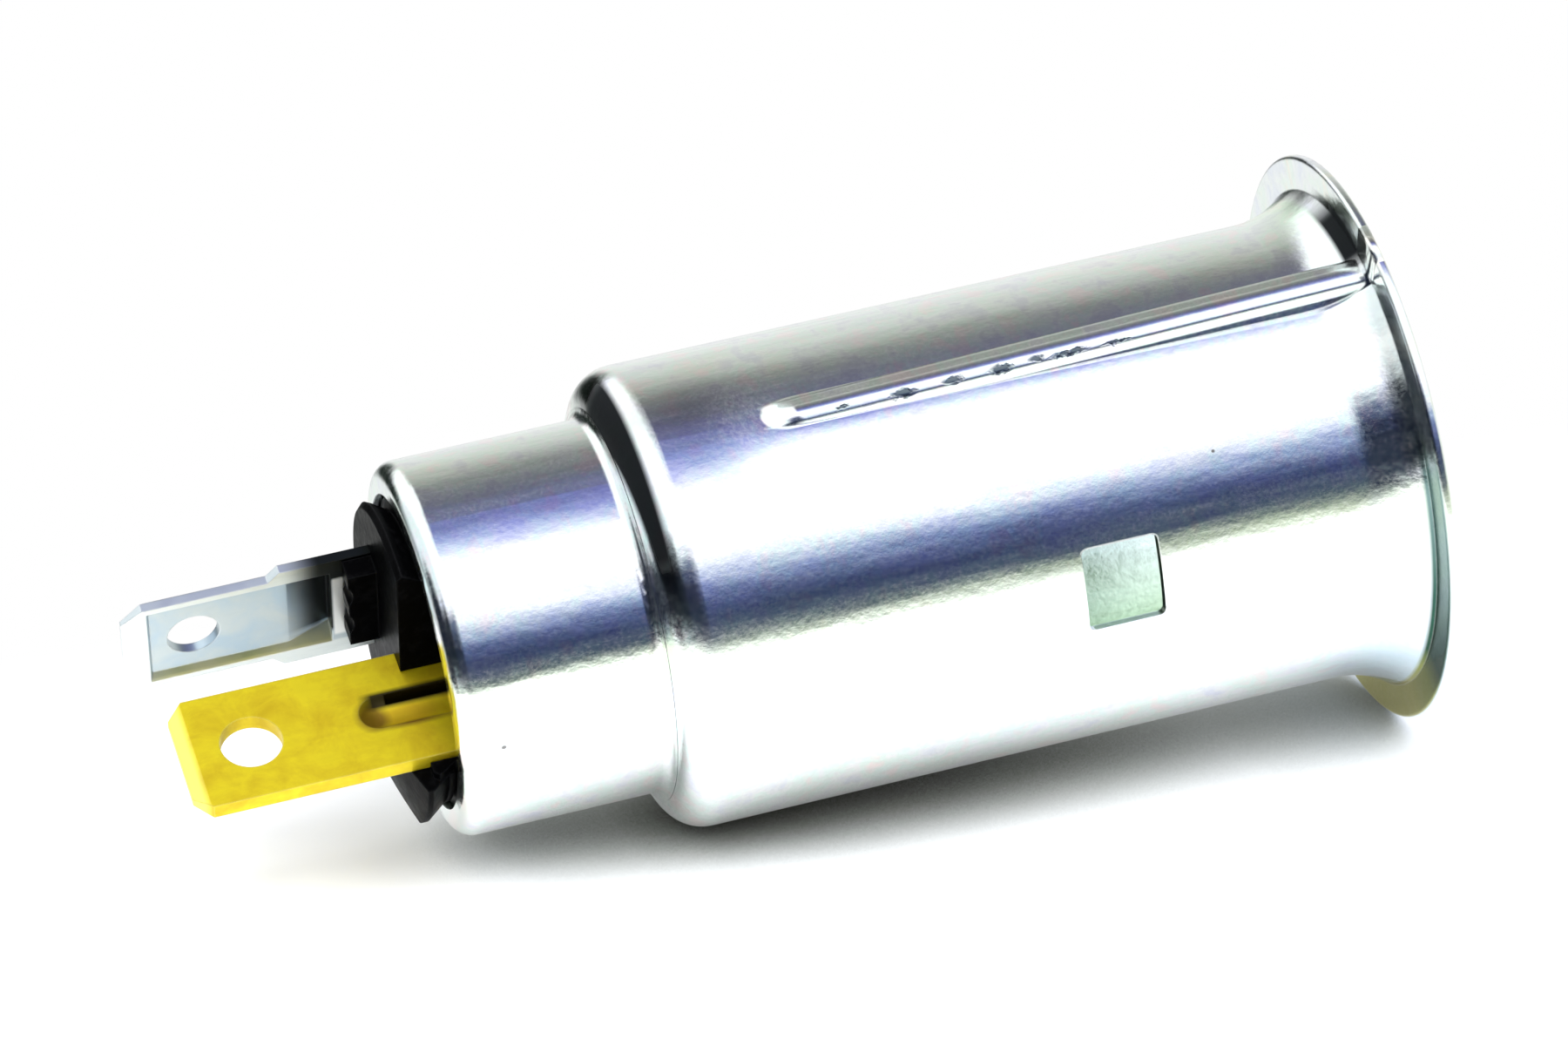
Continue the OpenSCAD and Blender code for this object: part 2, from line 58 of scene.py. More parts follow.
# Light that the paper adds of itself, to the camera and to the metal that mirrors it
PAPER_GLOW = 0.14
PAPER_GLOW_MIRRORED = 0.20

# The soft lamp over the front, in metres and watts
SOFTBOX_PLACE = Vector((-0.02, -0.21, 0.27))
SOFTBOX_TARGET = Vector((-0.02, 0, 0))
SOFTBOX_LENGTH = 0.50
SOFTBOX_WIDTH = 0.40
SOFTBOX_POWER = 1.60

# Parts of the studio that the metal mirrors, by the x of the mirrored direction
OVER_SLEEVE = (-0.08, 0.12)
BEHIND_FLARE = (-0.54, -0.64)
DARK_REAR = (-0.86, -0.94)
BEYOND_MOUTH = (0.72, 0.95)

# The shell, in millimetres and degrees: angles run round the axis from -Y towards +Z. Limits
# whose names end in X lie along the axis, and in Y round the unrolled sleeve.
SLEEVE_RADIUS = 11.0
RIB_ANGLE = 60
KEY_ROLL = math.radians(90 - RIB_ANGLE)
RIB_Y = math.radians(RIB_ANGLE) * SLEEVE_RADIUS
RIB_START = -28.6
RIB_HALF_WIDTH = 0.95
RIB_NOSE_X = (RIB_START - 0.7, RIB_START + 1.1)
RIB_NOSE_CURVE = 0.7
RIB_CROWN = 0.48
# Sheet drawn up beside the rib: its height, its start and its width to both sides of the rib
DRAWN_UP = 0.23
DRAWN_UP_X = (-32.5, -27.0)
DRAWN_UP_ACROSS = (-3.6, -RIB_HALF_WIDTH, RIB_HALF_WIDTH, 9.0)

# Dents left by the press tool along the lower edge of the rib: place along the axis, angle,
# length and width
RIB_DENTS = ((-25.5, 57.6, 0.36, 0.13), (-22.6, 57.3, 0.78, 0.30), (-20.2, 57.5, 0.62, 0.27),
             (-17.9, 57.4, 0.66, 0.30), (-16.2, 57.6, 0.46, 0.22), (-14.6, 57.1, 1.10, 0.17),
             (-12.3, 57.0, 0.90, 0.12))
# Specks on the shell: place along the axis, angle, length and width
SPECKS = ((-43.95, -13.5, 0.17, 0.17), (-9.45, 25.7, 0.11, 0.10))
# Burrs below the window, where the punch came through
BURRS = ((-16.1, -12.9, 0.34, 0.12), (-15.2, -12.6, 0.20, 0.09), (-13.9, -12.7, 0.40, 0.11))

# Painted dark reflection in the fold of the shoulder, which loses width towards eye level
SHOULDER_FOLD_REAR_X = (-36.14, -35.96)
SHOULDER_FOLD_FRONT_X = (-34.90, -35.25)
SHOULDER_FOLD_Y = (1.5, 6.0, 17.0, 24.0)
SHOULDER_FOLD_LOSS = 0.45
SHOULDER_FOLD_LOSS_Y = (13.0, 3.0)
# Painted dark reflection behind the flange: its reach from the axis grows over a stretch of the way up
FLANGE_BACK_X = (0.12, 0.02)
FLANGE_FOLD_X = (-0.78, -0.50)
FLANGE_FOLD_Y = (11.2, 12.6, 15.2, 18.2)
FLANGE_FOLD_REACH = (12.05, 12.60)
FLANGE_FOLD_REACH_Y = (10.5, 14.0)
FLANGE_FOLD_SOFTNESS = 0.15

# Tints of the zinc. The painted shade behind the rib's start is a spot: x, y, length and width
FLECKS_X = (-0.3, -0.9)
STRONG_FLECKS_Y = (10.5, 13.0)
PAINTED_SHADE_SPOT = (-32.0, RIB_Y + 1.7, 4.2, 2.4)
STRAW_Y = (-1.6, 0.4, 1.2, 2.4)
FLARE_X = (-3.5, -0.5)
GREEN_X = (-0.4, -0.8)
GREEN_Y = (14.5, 17.0)
BLUE_X = (-6.0, -2.0)
BLUE_Y = (-4.0, -9.0)
NEAR_SIDE_Y = (-29.0, -19.0)
# Painted reflection and shade on the back of the flange: where it lies along the axis, where it starts
# and how far down it runs
FLANGE_SHADE_X = (-0.30, -0.12, 0.02, 0.12)
FLANGE_SHADE_START_Y = (4.5, 2.0)
FLANGE_SHADE_WAY_DOWN_Y = (2.0, -12.0)
LOW_BORE_Z = (-5.6, -8.8)

# Relief of the shell's surface, in millimetres, and how far the dents' edges wander
DENT_DEPTH = 0.03
WAVE_HEIGHT = 0.045
STREAK_HEIGHT = 0.003
ORANGE_PEEL_HEIGHT = 0.009
GRAIN_HEIGHT = 0.0012
DENT_WANDER = 0.5

# Directions across the blades, which stand square to each other
LIVE_ACROSS = (0, -math.cos(KEY_ROLL), -math.sin(KEY_ROLL))
GROUND_ACROSS = (0, -math.sin(KEY_ROLL), math.cos(KEY_ROLL))

# Painted highlight, painted shade and an orange-brown cloud on the live blade, in millimetres: spots
# are x, way across, length and width
LIVE_TIP_X = (-57.1, -57.4)
BROWN_CLOUD = (-47.2, 3.5, 2.0, 0.8)
GROOVE_END = (-48.8, 3.4, 0.95, 1.1)
GROOVE_EDGE = (-47.0, 4.25, 2.5, 0.30)
GROOVE_SHADE_X = (-49.3, -48.6)
GROOVE_SHADE_ACROSS = (2.05, 2.30, 2.75, 3.00)

# Painted light on the ground blade, in millimetres: a painted highlight along its margin, painted
# shade on its foot and a painted glint in that foot
MARGIN_OFF_MIDDLE = (2.30, 2.45)
MARGIN_TIP_X = (-57.50, -57.65)
FOOT_X = (-51.4, -49.3)
FOOT_ACROSS = (-1.75, -1.45)
GLINT_X = (-48.85, -48.72, -48.30, -48.15)
GLINT_OFF_MIDDLE = (2.1, 1.9)

# Radii of the softened edges, in millimetres
SHELL_EDGE = 0.12
MOULDING_EDGE = 0.12
BLADE_EDGE = 0.10
RING_EDGE = 0.06
BEVEL_SAMPLES = 3


class Shader:
    """Short calls for building one node tree."""

    def __init__(self, name, tree=None):
        if tree is None:
            self.material = bpy.data.materials.new(name)
            self.material.use_nodes = True
            tree = self.material.node_tree
        self.tree = tree
        tree.nodes.clear()

    def put(self, kind, inputs=None, **settings):
        node = self.tree.nodes.new("ShaderNode" + kind)
        for name, value in settings.items():
            setattr(node, name, value)
        for key, value in (inputs or {}).items():
            socket = node.inputs[key]
            if isinstance(value, bpy.types.NodeSocket):
                self.tree.links.new(value, socket)
            else:
                socket.default_value = value
        return node

    def maths(self, operation, *values, clamp=False):
        node = self.put("Math", dict(enumerate(values)), operation=operation, use_clamp=clamp)
        return node.outputs[0]

    def place(self):
        """Position on the object in millimetres."""
        coordinates = self.put("TexCoord").outputs["Object"]
        scaled = self.put("VectorMath", {0: coordinates, 3: 1 / MM}, operation="SCALE")
        return scaled.outputs[0]

    def product(self, first, *others):
        for other in others:
            first = self.maths("MULTIPLY", first, other)
        return first

    def parts(self, vector):
        """The outputs X, Y and Z of a vector."""
        return self.put("SeparateXYZ", {0: vector}).outputs

    def measure(self, operation, first, second):
        """A number from two vectors, such as their DISTANCE."""
        return self.put("VectorMath", {0: first, 1: second}, operation=operation).outputs["Value"]

    def stretched(self, vector, x, y, z):
        return self.put("VectorMath", {0: vector, 1: (x, y, z)}, operation="MULTIPLY").outputs[0]

    def angle_round(self, place):
        """Angle round the axis in degrees, from -Y towards +Z."""
        parts = self.parts(place)
        turn = self.maths("ARCTAN2", parts["Z"], self.maths("MULTIPLY", parts["Y"], -1.0))
        return self.maths("MULTIPLY", turn, math.degrees(1))

    def unrolled(self, place):
        """The sleeve laid flat: x along the axis, y round the sleeve, both in millimetres."""
        way_round = self.maths("MULTIPLY", self.angle_round(place), math.radians(SLEEVE_RADIUS))
        return self.put("CombineXYZ", {0: self.parts(place)["X"], 1: way_round}).outputs[0]

    def spot(self, flat, x, y, length, width, soft=0.5):
        """1 inside an ellipse of the plane, fading out over its soft outer part."""
        scaled = self.stretched(flat, 1 / length, 1 / width, 0)
        away = self.measure("DISTANCE", scaled, (x / length, y / width, 0))
        return self.span(away, 1.0, 1.0 - soft)

    def noise(self, vector, scale, detail=3.0, roughness=0.55, distortion=0.0):
        node = self.put("TexNoise", {"Vector": vector, "Scale": scale, "Detail": detail,
                                     "Roughness": roughness, "Distortion": distortion})
        return node.outputs[0]

    def ramp(self, value, *stops):
        """Colours or grey levels along value: each stop is (position, colour)."""
        node = self.put("ValToRGB", {"Fac": value})
        elements = node.color_ramp.elements
        while len(elements) < len(stops):
            elements.new(0.5)
        for element, (position, colour) in zip(elements, stops):
            element.position = position
            if isinstance(colour, (int, float)):
                colour = (colour, colour, colour)
            element.color = (*colour, 1)
        return node.outputs["Color"]

    def span(self, value, low, high, to_low=0.0, to_high=1.0):
        """Straight change from to_low, where value is low, to to_high, and level beyond."""
        node = self.put("MapRange", {"Value": value, "From Min": low, "From Max": high,
                                     "To Min": to_low, "To Max": to_high})
        return node.outputs["Result"]

    def smooth(self, value, low, high):
        """0 where value is low and 1 where it is high, with a soft start and end."""
        node = self.put("MapRange", {"Value": value, "From Min": low, "From Max": high},
                        interpolation_type="SMOOTHSTEP")
        return node.outputs["Result"]

    def band(self, value, limits, smooth=False):
        """1 inside a band of value that starts, is full, begins to fade and ends at the limits."""
        start, full, fade, end = limits
        step = self.smooth if smooth else self.span
        return self.maths("MULTIPLY", step(value, start, full), step(value, end, fade))

    def mix(self, factor, first, second, kind="MIX"):
        node = self.put("Mix", {0: factor, 6: first, 7: second}, data_type="RGBA", blend_type=kind)
        return node.outputs[2]

    def coat(self, base, mask, colour, share):
        """The base colour with that share of another laid over it where mask is 1."""
        return self.mix(self.maths("MULTIPLY", mask, share), base, colour)

    def bump(self, height, distance, normal=None):
        """The normal of a surface with that height, where a height of 1 is distance metres."""
        inputs = {"Height": height, "Distance": distance, "Strength": 1.0}
        if normal is not None:
            inputs["Normal"] = normal
        return self.put("Bump", inputs).outputs[0]

    def finish(self, **inputs):
        shader = self.put("BsdfPrincipled", inputs)
        self.put("OutputMaterial", {"Surface": shader.outputs[0]})
        return self.material


def rgb(red, green, blue):
    return (red, green, blue, 1.0)


def softened_edges(s, radius):
    """The normal with its sharp corners rounded, and a mask that is 1 along those corners."""
    rounded = s.put("Bevel", {"Radius": radius * MM}, samples=BEVEL_SAMPLES).outputs[0]
    true_normal = s.put("NewGeometry").outputs["Normal"]
    return rounded, s.span(s.measure("DOT_PRODUCT", rounded, true_normal), 0.995, 0.90)


def marks(s, flat, places):
    """One mask for a row of small marks: place along the axis, angle, length and width."""
    mask = 0.0
    for x, angle, length, width in places:
        y = math.radians(angle) * SLEEVE_RADIUS
        mask = s.maths("MAXIMUM", mask, s.spot(flat, x, y, length, width))
    return mask


def ragged(s, flat, place):
    """The flat position pushed about a little, so that marks placed with it have uneven edges."""
    push = s.maths("MULTIPLY", s.maths("SUBTRACT", s.noise(place, 3.0, detail=2), 0.5), DENT_WANDER)
    return s.put("VectorMath", {0: flat, 1: push}, operation="ADD").outputs[0]


def rib_relief(s, parts):
    """Height of the pressed rib's own shape in millimetres: its crowned top, and the sheet drawn
    up on both sides of it."""
    across = s.maths("SUBTRACT", parts["Y"], RIB_Y)
    squared = s.maths("MULTIPLY", across, across)
    crown = s.maths("POWER", s.span(squared, RIB_HALF_WIDTH ** 2, 0.0), 1.5)
    nose = s.maths("SUBTRACT", parts["X"], s.maths("MULTIPLY", squared, RIB_NOSE_CURVE))
    crown = s.product(crown, s.smooth(nose, *RIB_NOSE_X), RIB_CROWN)
    drawn = s.product(s.band(across, DRAWN_UP_ACROSS, smooth=True),
                      s.smooth(parts["X"], *DRAWN_UP_X), DRAWN_UP)
    return s.maths("ADD", crown, drawn)


def flange_painted_reflection(s, y):
    """Painted reflection and shade on the back of the flange, from the top down: teal, dark green,
    olive.
    """
    way_down = s.span(y, *FLANGE_SHADE_WAY_DOWN_Y)
    return s.ramp(way_down, (0.10, (0.15, 0.24, 0.225)), (0.42, (0.035, 0.10, 0.075)),
                  (0.68, (0.016, 0.070, 0.038)), (0.80, (0.28, 0.31, 0.07)), (1.0, (0.46, 0.43, 0.12)))


def shoulder_fold_painted_dark(s, parts):
    """Mask of the painted dark reflection in the fold of the shoulder."""
    loss = s.span(parts["Y"], *SHOULDER_FOLD_LOSS_Y, 0.0, SHOULDER_FOLD_LOSS)
    rear = s.smooth(s.maths("SUBTRACT", parts["X"], loss), *SHOULDER_FOLD_REAR_X)
    front = s.smooth(parts["X"], *SHOULDER_FOLD_FRONT_X)
    return s.product(rear, front, s.band(parts["Y"], SHOULDER_FOLD_Y, smooth=True))


def flange_fold_painted_dark(s, place, parts):
    """Mask of the painted dark reflection behind the flange, a wedge that grows wider towards the top.
    """
    radius = s.measure("DISTANCE", s.stretched(place, 0, 1, 1), (0, 0, 0))
    reach = s.span(parts["Y"], *FLANGE_FOLD_REACH_Y, *FLANGE_FOLD_REACH)
    wedge = s.span(s.maths("SUBTRACT", reach, radius), 0.0, FLANGE_FOLD_SOFTNESS)
    along = s.product(s.smooth(parts["X"], *FLANGE_FOLD_X), s.span(parts["X"], *FLANGE_BACK_X))
    return s.product(wedge, along, s.band(parts["Y"], FLANGE_FOLD_Y, smooth=True))


def zinc_clouds(s, place, parts, streaks):
    """Bluish silver of the zinc: faint clouds, coloured flecks that are stronger above the rib,
    and streaks along the axis."""
    clouds = s.noise(s.stretched(place, 0.7, 1, 1), 0.36, detail=4, distortion=0.7)
    mottle = s.noise(s.stretched(place, 1.0, 0.6, 0.6), 0.75, detail=5, roughness=0.58)
    colour = s.ramp(clouds, (0.34, (0.86, 0.88, 0.96)), (0.45, (0.92, 0.94, 0.95)),
                    (0.55, (0.88, 0.95, 0.91)), (0.68, (0.95, 0.93, 0.86)))
    flecks = s.ramp(mottle, (0.34, (0.78, 0.79, 0.97)), (0.45, (0.93, 0.93, 0.96)),
                    (0.54, (0.80, 0.96, 0.92)), (0.66, (1.00, 0.84, 0.85)))
    strong = s.ramp(mottle, (0.36, (0.72, 0.72, 0.81)), (0.46, (0.84, 0.88, 0.86)),
                    (0.53, (0.76, 0.90, 0.82)), (0.64, (0.95, 0.80, 0.81)))
    flecks = s.mix(s.span(parts["Y"], *STRONG_FLECKS_Y), flecks, strong)
    colour = s.mix(s.span(parts["X"], *FLECKS_X, 0.0, 0.62), colour, flecks)
    return s.mix(s.span(streaks, 0.45, 0.80, 0.0, 0.16), colour, rgb(0.66, 0.69, 0.74))


def near_side(s, parts):
    """1 on the side of the shell that the photograph shows."""
    return s.smooth(parts["Y"], *NEAR_SIDE_Y)


def zinc_tints(s, flat, parts, colour):
    """Tints over the zinc: painted shade behind the rib's start, straw at eye level, green on top
    of the flare and blue below it."""
    # Painted shade behind the rib's start
    colour = s.coat(colour, s.spot(flat, *PAINTED_SHADE_SPOT, soft=0.9), rgb(0.40, 0.38, 0.42), 0.6)
    colour = s.coat(colour, s.band(parts["Y"], STRAW_Y, smooth=True), rgb(0.76, 0.84, 0.68), 0.75)
    green = s.product(s.span(parts["X"], *FLARE_X), s.span(parts["Y"], *GREEN_Y),
                      s.span(parts["X"], *GREEN_X))
    colour = s.coat(colour, green, rgb(0.68, 0.94, 0.62), 0.5)
    blue = s.product(s.span(parts["X"], *BLUE_X), s.span(parts["Y"], *BLUE_Y), near_side(s, parts))
    return s.coat(colour, blue, rgb(0.66, 0.80, 0.92), 0.8)


def passivation(s, place, flat, parts, streaks):
    """Colour of the zinc, with a painted reflection and shade on the back of the flange and a greener
    bore.
    """
    colour = zinc_tints(s, flat, parts, zinc_clouds(s, place, parts, streaks))
    # Painted reflection and shade on the back of the flange
    back = s.product(s.band(parts["X"], FLANGE_SHADE_X), near_side(s, parts),
                     s.span(parts["Y"], *FLANGE_SHADE_START_Y))
    colour = s.mix(back, colour, flange_painted_reflection(s, parts["Y"]))
    low = s.span(s.parts(place)["Z"], *LOW_BORE_Z)
    bore = s.mix(low, rgb(0.90, 0.97, 0.98), rgb(0.50, 0.62, 0.44))
    return s.mix(facing_inwards(s, place), colour, bore)


def facing_inwards(s, place):
    """1 on faces that look towards the axis."""
    normal = s.put("NewGeometry").outputs["Normal"]
    return s.span(s.measure("DOT_PRODUCT", s.stretched(place, 0, 1, 1), normal), -1.0, -3.0)


def zinc_plated_steel():
    s = Shader("zinc_plated_steel")
    place = s.place()
    flat = s.unrolled(place)
    parts = s.parts(flat)
    streaks = s.noise(s.stretched(place, 0.10, 1.6, 1.6), 1.1, detail=4)
    grain = s.noise(place, 6.0, detail=4)
    orange_peel = s.noise(s.stretched(place, 0.8, 1, 1), 2.2, detail=3)
    waves = s.noise(s.stretched(place, 0.30, 1, 1), 0.30, detail=2)
    dents = marks(s, ragged(s, flat, place), RIB_DENTS)
    tarnish_and_painted_shade = s.maths("MAXIMUM", shoulder_fold_painted_dark(s, parts), flange_fold_painted_dark(s, place, parts))
    rounded, edges = softened_edges(s, SHELL_EDGE)

    base = passivation(s, place, flat, parts, streaks)
    base = s.coat(base, edges, rgb(0.95, 0.96, 0.97), 0.4)
    # Painted dark reflection in the fold of the shoulder and behind the flange, laid over the colour
    base = s.coat(base, tarnish_and_painted_shade, rgb(0.008, 0.011, 0.013), 0.98)
    base = s.coat(base, dents, rgb(0.07, 0.10, 0.13), 0.92)
    base = s.coat(base, marks(s, flat, SPECKS), rgb(0.10, 0.08, 0.07), 0.85)
    base = s.coat(base, marks(s, flat, BURRS), rgb(0.50, 0.50, 0.46), 0.45)

    roughness = s.span(streaks, 0.3, 0.7, 0.12, 0.20)
    roughness = s.maths("ADD", roughness, s.span(grain, 0.3, 0.7, -0.03, 0.06))
    roughness = s.maths("MAXIMUM", roughness, s.span(tarnish_and_painted_shade, 0.85, 1.0, 0.0, 0.75))

    height = rib_relief(s, parts)
    for relief, size in ((dents, -DENT_DEPTH), (waves, WAVE_HEIGHT), (streaks, STREAK_HEIGHT),
                         (orange_peel, ORANGE_PEEL_HEIGHT), (grain, GRAIN_HEIGHT)):
        height = s.maths("ADD", height, s.maths("MULTIPLY", relief, size))
    normal = s.bump(height, MM, normal=rounded)
    return s.finish(**{"Base Color": base, "Metallic": 1.0, "Roughness": roughness, "Normal": normal})


def black_moulding():
    s = Shader("black_moulding")
    place = s.place()
    pebble = s.noise(place, 4.0, detail=4)
    dust = s.noise(place, 1.3, detail=5, roughness=0.7)
    rounded, edges = softened_edges(s, MOULDING_EDGE)
    base = s.ramp(dust, (0.50, (0.0012, 0.0012, 0.0014)), (0.85, (0.008, 0.008, 0.009)))
    # Lighter corners: a painted highlight along the edges
    base = s.coat(base, edges, rgb(0.030, 0.031, 0.034), 0.35)
    roughness = s.span(dust, 0.3, 0.8, 0.30, 0.50)
    normal = s.bump(pebble, 0.010 * MM, normal=rounded)
    return s.finish(**{"Base Color": base, "Roughness": roughness, "Specular IOR Level": 0.012,
                       "Normal": normal})


def live_blade_painted_light(s, place, base):
    """Painted highlight on the tip, painted shade at the groove's end, along its lower edge and along
    its lanced edge, and an orange-brown cloud in the groove.
    """
    along = s.parts(place)["X"]
    across = s.measure("DOT_PRODUCT", place, LIVE_ACROSS)
    blade = s.put("CombineXYZ", {0: along, 1: across}).outputs[0]
    # Painted highlight on the tip, where a bevel would catch the light
    base = s.coat(base, s.span(along, *LIVE_TIP_X), rgb(1.0, 0.95, 0.22), 0.8)
    base = s.coat(base, s.spot(blade, *BROWN_CLOUD), rgb(0.72, 0.42, 0.02), 0.6)
    # Painted shade at the groove's rounded end and along its lower edge
    base = s.coat(base, s.spot(blade, *GROOVE_END), rgb(0.20, 0.10, 0.01), 0.85)
    base = s.mix(s.spot(blade, *GROOVE_EDGE, soft=0.9), base, rgb(0.22, 0.12, 0.01))
    # Painted shade along the groove's lanced upper edge
    groove_shade = s.product(s.band(across, GROOVE_SHADE_ACROSS), s.span(along, *GROOVE_SHADE_X))
    return s.coat(base, groove_shade, rgb(0.010, 0.006, 0.001), 0.97)


def sheet_brass(name, bright, dull, rough, film=0.0, with_painted_light=False):
    """Brass sheet; film is the share of matt oxide on it."""
    s = Shader(name)
    place = s.place()
    rolling = s.noise(s.stretched(place, 0.25, 2.5, 2.5), 1.2, detail=5)
    tarnish_and_painted_shade = s.noise(place, 0.55, detail=5, roughness=0.6, distortion=0.4)
    grain = s.noise(place, 9.0, detail=3)
    rounded, edges = softened_edges(s, BLADE_EDGE)
    base = s.mix(s.span(tarnish_and_painted_shade, 0.40, 0.70), bright, dull)
    base = s.mix(s.span(rolling, 0.45, 0.80, 0.0, 0.30), base, dull)
    # Brighter edges: partly polish, partly a painted highlight
    base = s.coat(base, edges, rgb(1.0, 0.92, 0.25), 0.6)
    if with_painted_light:
        base = live_blade_painted_light(s, place, base)
    roughness = s.maths("ADD", s.span(tarnish_and_painted_shade, 0.3, 0.7, rough - 0.06, rough + 0.10),
                        s.span(grain, 0.3, 0.7, -0.04, 0.04))
    waves = s.bump(s.noise(place, 0.5, detail=2), 0.02 * MM, normal=rounded)
    normal = s.bump(rolling, 0.006 * MM, normal=waves)
    return s.finish(**{"Base Color": base, "Metallic": 1.0 - film, "Roughness": roughness,
                       "Normal": normal})


def tinned_brass():
    s = Shader("tinned_brass")
    place = s.place()
    wipe = s.noise(s.stretched(place, 0.3, 2.0, 2.0), 1.0, detail=4)
    clouds = s.noise(place, 0.5, detail=4, distortion=0.5)
    rounded, edges = softened_edges(s, BLADE_EDGE)
    along = s.parts(place)["X"]
    across = s.measure("DOT_PRODUCT", place, GROUND_ACROSS)
    off_middle = s.maths("ABSOLUTE", across)
    margin = s.maths("MAXIMUM", s.span(off_middle, *MARGIN_OFF_MIDDLE), s.span(along, *MARGIN_TIP_X))
    glint = s.product(s.band(along, GLINT_X), s.span(off_middle, *GLINT_OFF_MIDDLE))
    foot = s.product(s.smooth(along, *FOOT_X), s.span(across, *FOOT_ACROSS),
                     s.maths("SUBTRACT", 1.0, glint))
    base = s.ramp(clouds, (0.35, (0.47, 0.59, 0.68)), (0.65, (0.58, 0.65, 0.67)))
    # Painted highlight along the long edges and at the tip
    base = s.mix(margin, base, rgb(0.80, 0.86, 0.86))
    base = s.mix(s.span(wipe, 0.5, 0.8, 0.0, 0.25), base, rgb(0.50, 0.56, 0.58))
    base = s.coat(base, edges, rgb(0.97, 0.98, 0.97), 0.6)
    # Painted shade on the foot of the blade, next to the moulding
    base = s.coat(base, foot, rgb(0.006, 0.009, 0.008), 0.98)
    base = s.mix(glint, base, rgb(0.98, 1.0, 0.99))
    roughness = s.span(clouds, 0.3, 0.7, 0.28, 0.38)
    waves = s.bump(s.noise(place, 0.45, detail=2), 0.010 * MM, normal=rounded)
    normal = s.bump(wipe, 0.004 * MM, normal=waves)
    return s.finish(**{"Base Color": base, "Metallic": 1.0, "Roughness": roughness, "Normal": normal})


def hard_paper():
    s = Shader("hard_paper")
    place = s.place()
    fibres = s.noise(s.stretched(place, 6.0, 1.0, 3.0), 1.4, detail=6, roughness=0.7)
    patches = s.noise(place, 0.4, detail=3)
    base = s.ramp(patches, (0.35, (0.030, 0.022, 0.016)), (0.70, (0.060, 0.042, 0.028)))
    base = s.mix(s.span(fibres, 0.50, 0.80, 0.0, 0.5), base, rgb(0.10, 0.072, 0.048))
    roughness = s.span(fibres, 0.3, 0.7, 0.55, 0.75)
    normal = s.bump(fibres, 0.012 * MM)
    return s.finish(**{"Base Color": base, "Roughness": roughness, "Normal": normal})


def spring_steel():
    s = Shader("spring_steel")
    place = s.place()
    blueing = s.noise(place, 0.6, detail=4, distortion=0.5)
    scratches = s.noise(s.stretched(place, 1.0, 0.4, 3.0), 2.4, detail=4)
    rounded, edges = softened_edges(s, RING_EDGE)
    base = s.ramp(blueing, (0.35, (0.34, 0.35, 0.38)), (0.65, (0.46, 0.45, 0.43)))
    base = s.coat(base, edges, rgb(0.75, 0.76, 0.78), 0.6)
    roughness = s.span(scratches, 0.3, 0.7, 0.28, 0.42)
    normal = s.bump(scratches, 0.004 * MM, normal=rounded)
    return s.finish(**{"Base Color": base, "Metallic": 1.0, "Roughness": roughness, "Normal": normal})


def dress(node, material):
    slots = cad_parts[node].material_slots
    for slot in slots:
        slot.material = material
    if not slots:
        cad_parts[node].data.materials.append(material)


def floor_height(x, y):
    """The floor under the socket, bending away outside the flat part, and sooner to the rear,
    where its slope would bring it up between the socket and a low camera."""
    plane = FLOOR_TOUCH.z + FLOOR_SLOPE * (x - FLOOR_TOUCH.x)
    beyond = max(0.0, math.hypot(x - FLOOR_CENTRE_X, y) - FLOOR_FLAT_RADIUS)
    rear = max(0.0, FLOOR_REAR_X - x)
    return plane - FLOOR_BEND * beyond ** 2 - FLOOR_REAR_BEND * rear ** 2


def make_floor():
    mesh = bpy.data.meshes.new("floor")
    work = bmesh.new()
    rows = []
    for i in range(FLOOR_STEPS_X + 1):
        x = FLOOR_CENTRE_X + FLOOR_HALF_LENGTH * (2 * i / FLOOR_STEPS_X - 1)
        row = []
        for j in range(FLOOR_STEPS_Y + 1):
            y = FLOOR_FRONT_Y + (FLOOR_BACK_Y - FLOOR_FRONT_Y) * j / FLOOR_STEPS_Y
            row.append(work.verts.new((x, y, floor_height(x, y))))
        rows.append(row)
    for row, following in zip(rows, rows[1:]):
        for j in range(FLOOR_STEPS_Y):
            face = work.faces.new((row[j], following[j], following[j + 1], row[j + 1]))
            face.smooth = True
    work.to_mesh(mesh)
    work.free()
    floor = bpy.data.objects.new("floor", mesh)
    bpy.context.scene.collection.objects.link(floor)
    mesh.materials.append(floor_paper())


def plain_white(s, position):
    """1 on the paper far from the socket and behind it, where the photograph is plain white."""
    away = s.measure("DISTANCE", s.stretched(position, 1, 1, 0), (FLOOR_CENTRE_X, 0, 0))
    behind = s.smooth(s.parts(position)["Y"], *PAPER_BEHIND_Y)
    return s.maths("MAXIMUM", s.smooth(away, *PAPER_FAR), behind)


def sky_over_paper(s, position):
    """How open the sky is over the paper, with the shadow lifted at both ends of the socket."""
    sky = s.put("AmbientOcclusion", {"Distance": SHADOW_REACH}, samples=SHADOW_SAMPLES).outputs["AO"]
    along = s.parts(position)["X"]
    lift = s.maths("ADD", s.span(along, *MOUTH_LIFT_X, 0.0, MOUTH_LIFT),
                   s.span(along, *REAR_LIFT_X, 0.0, REAR_LIFT))
    return s.maths("ADD", sky, lift)


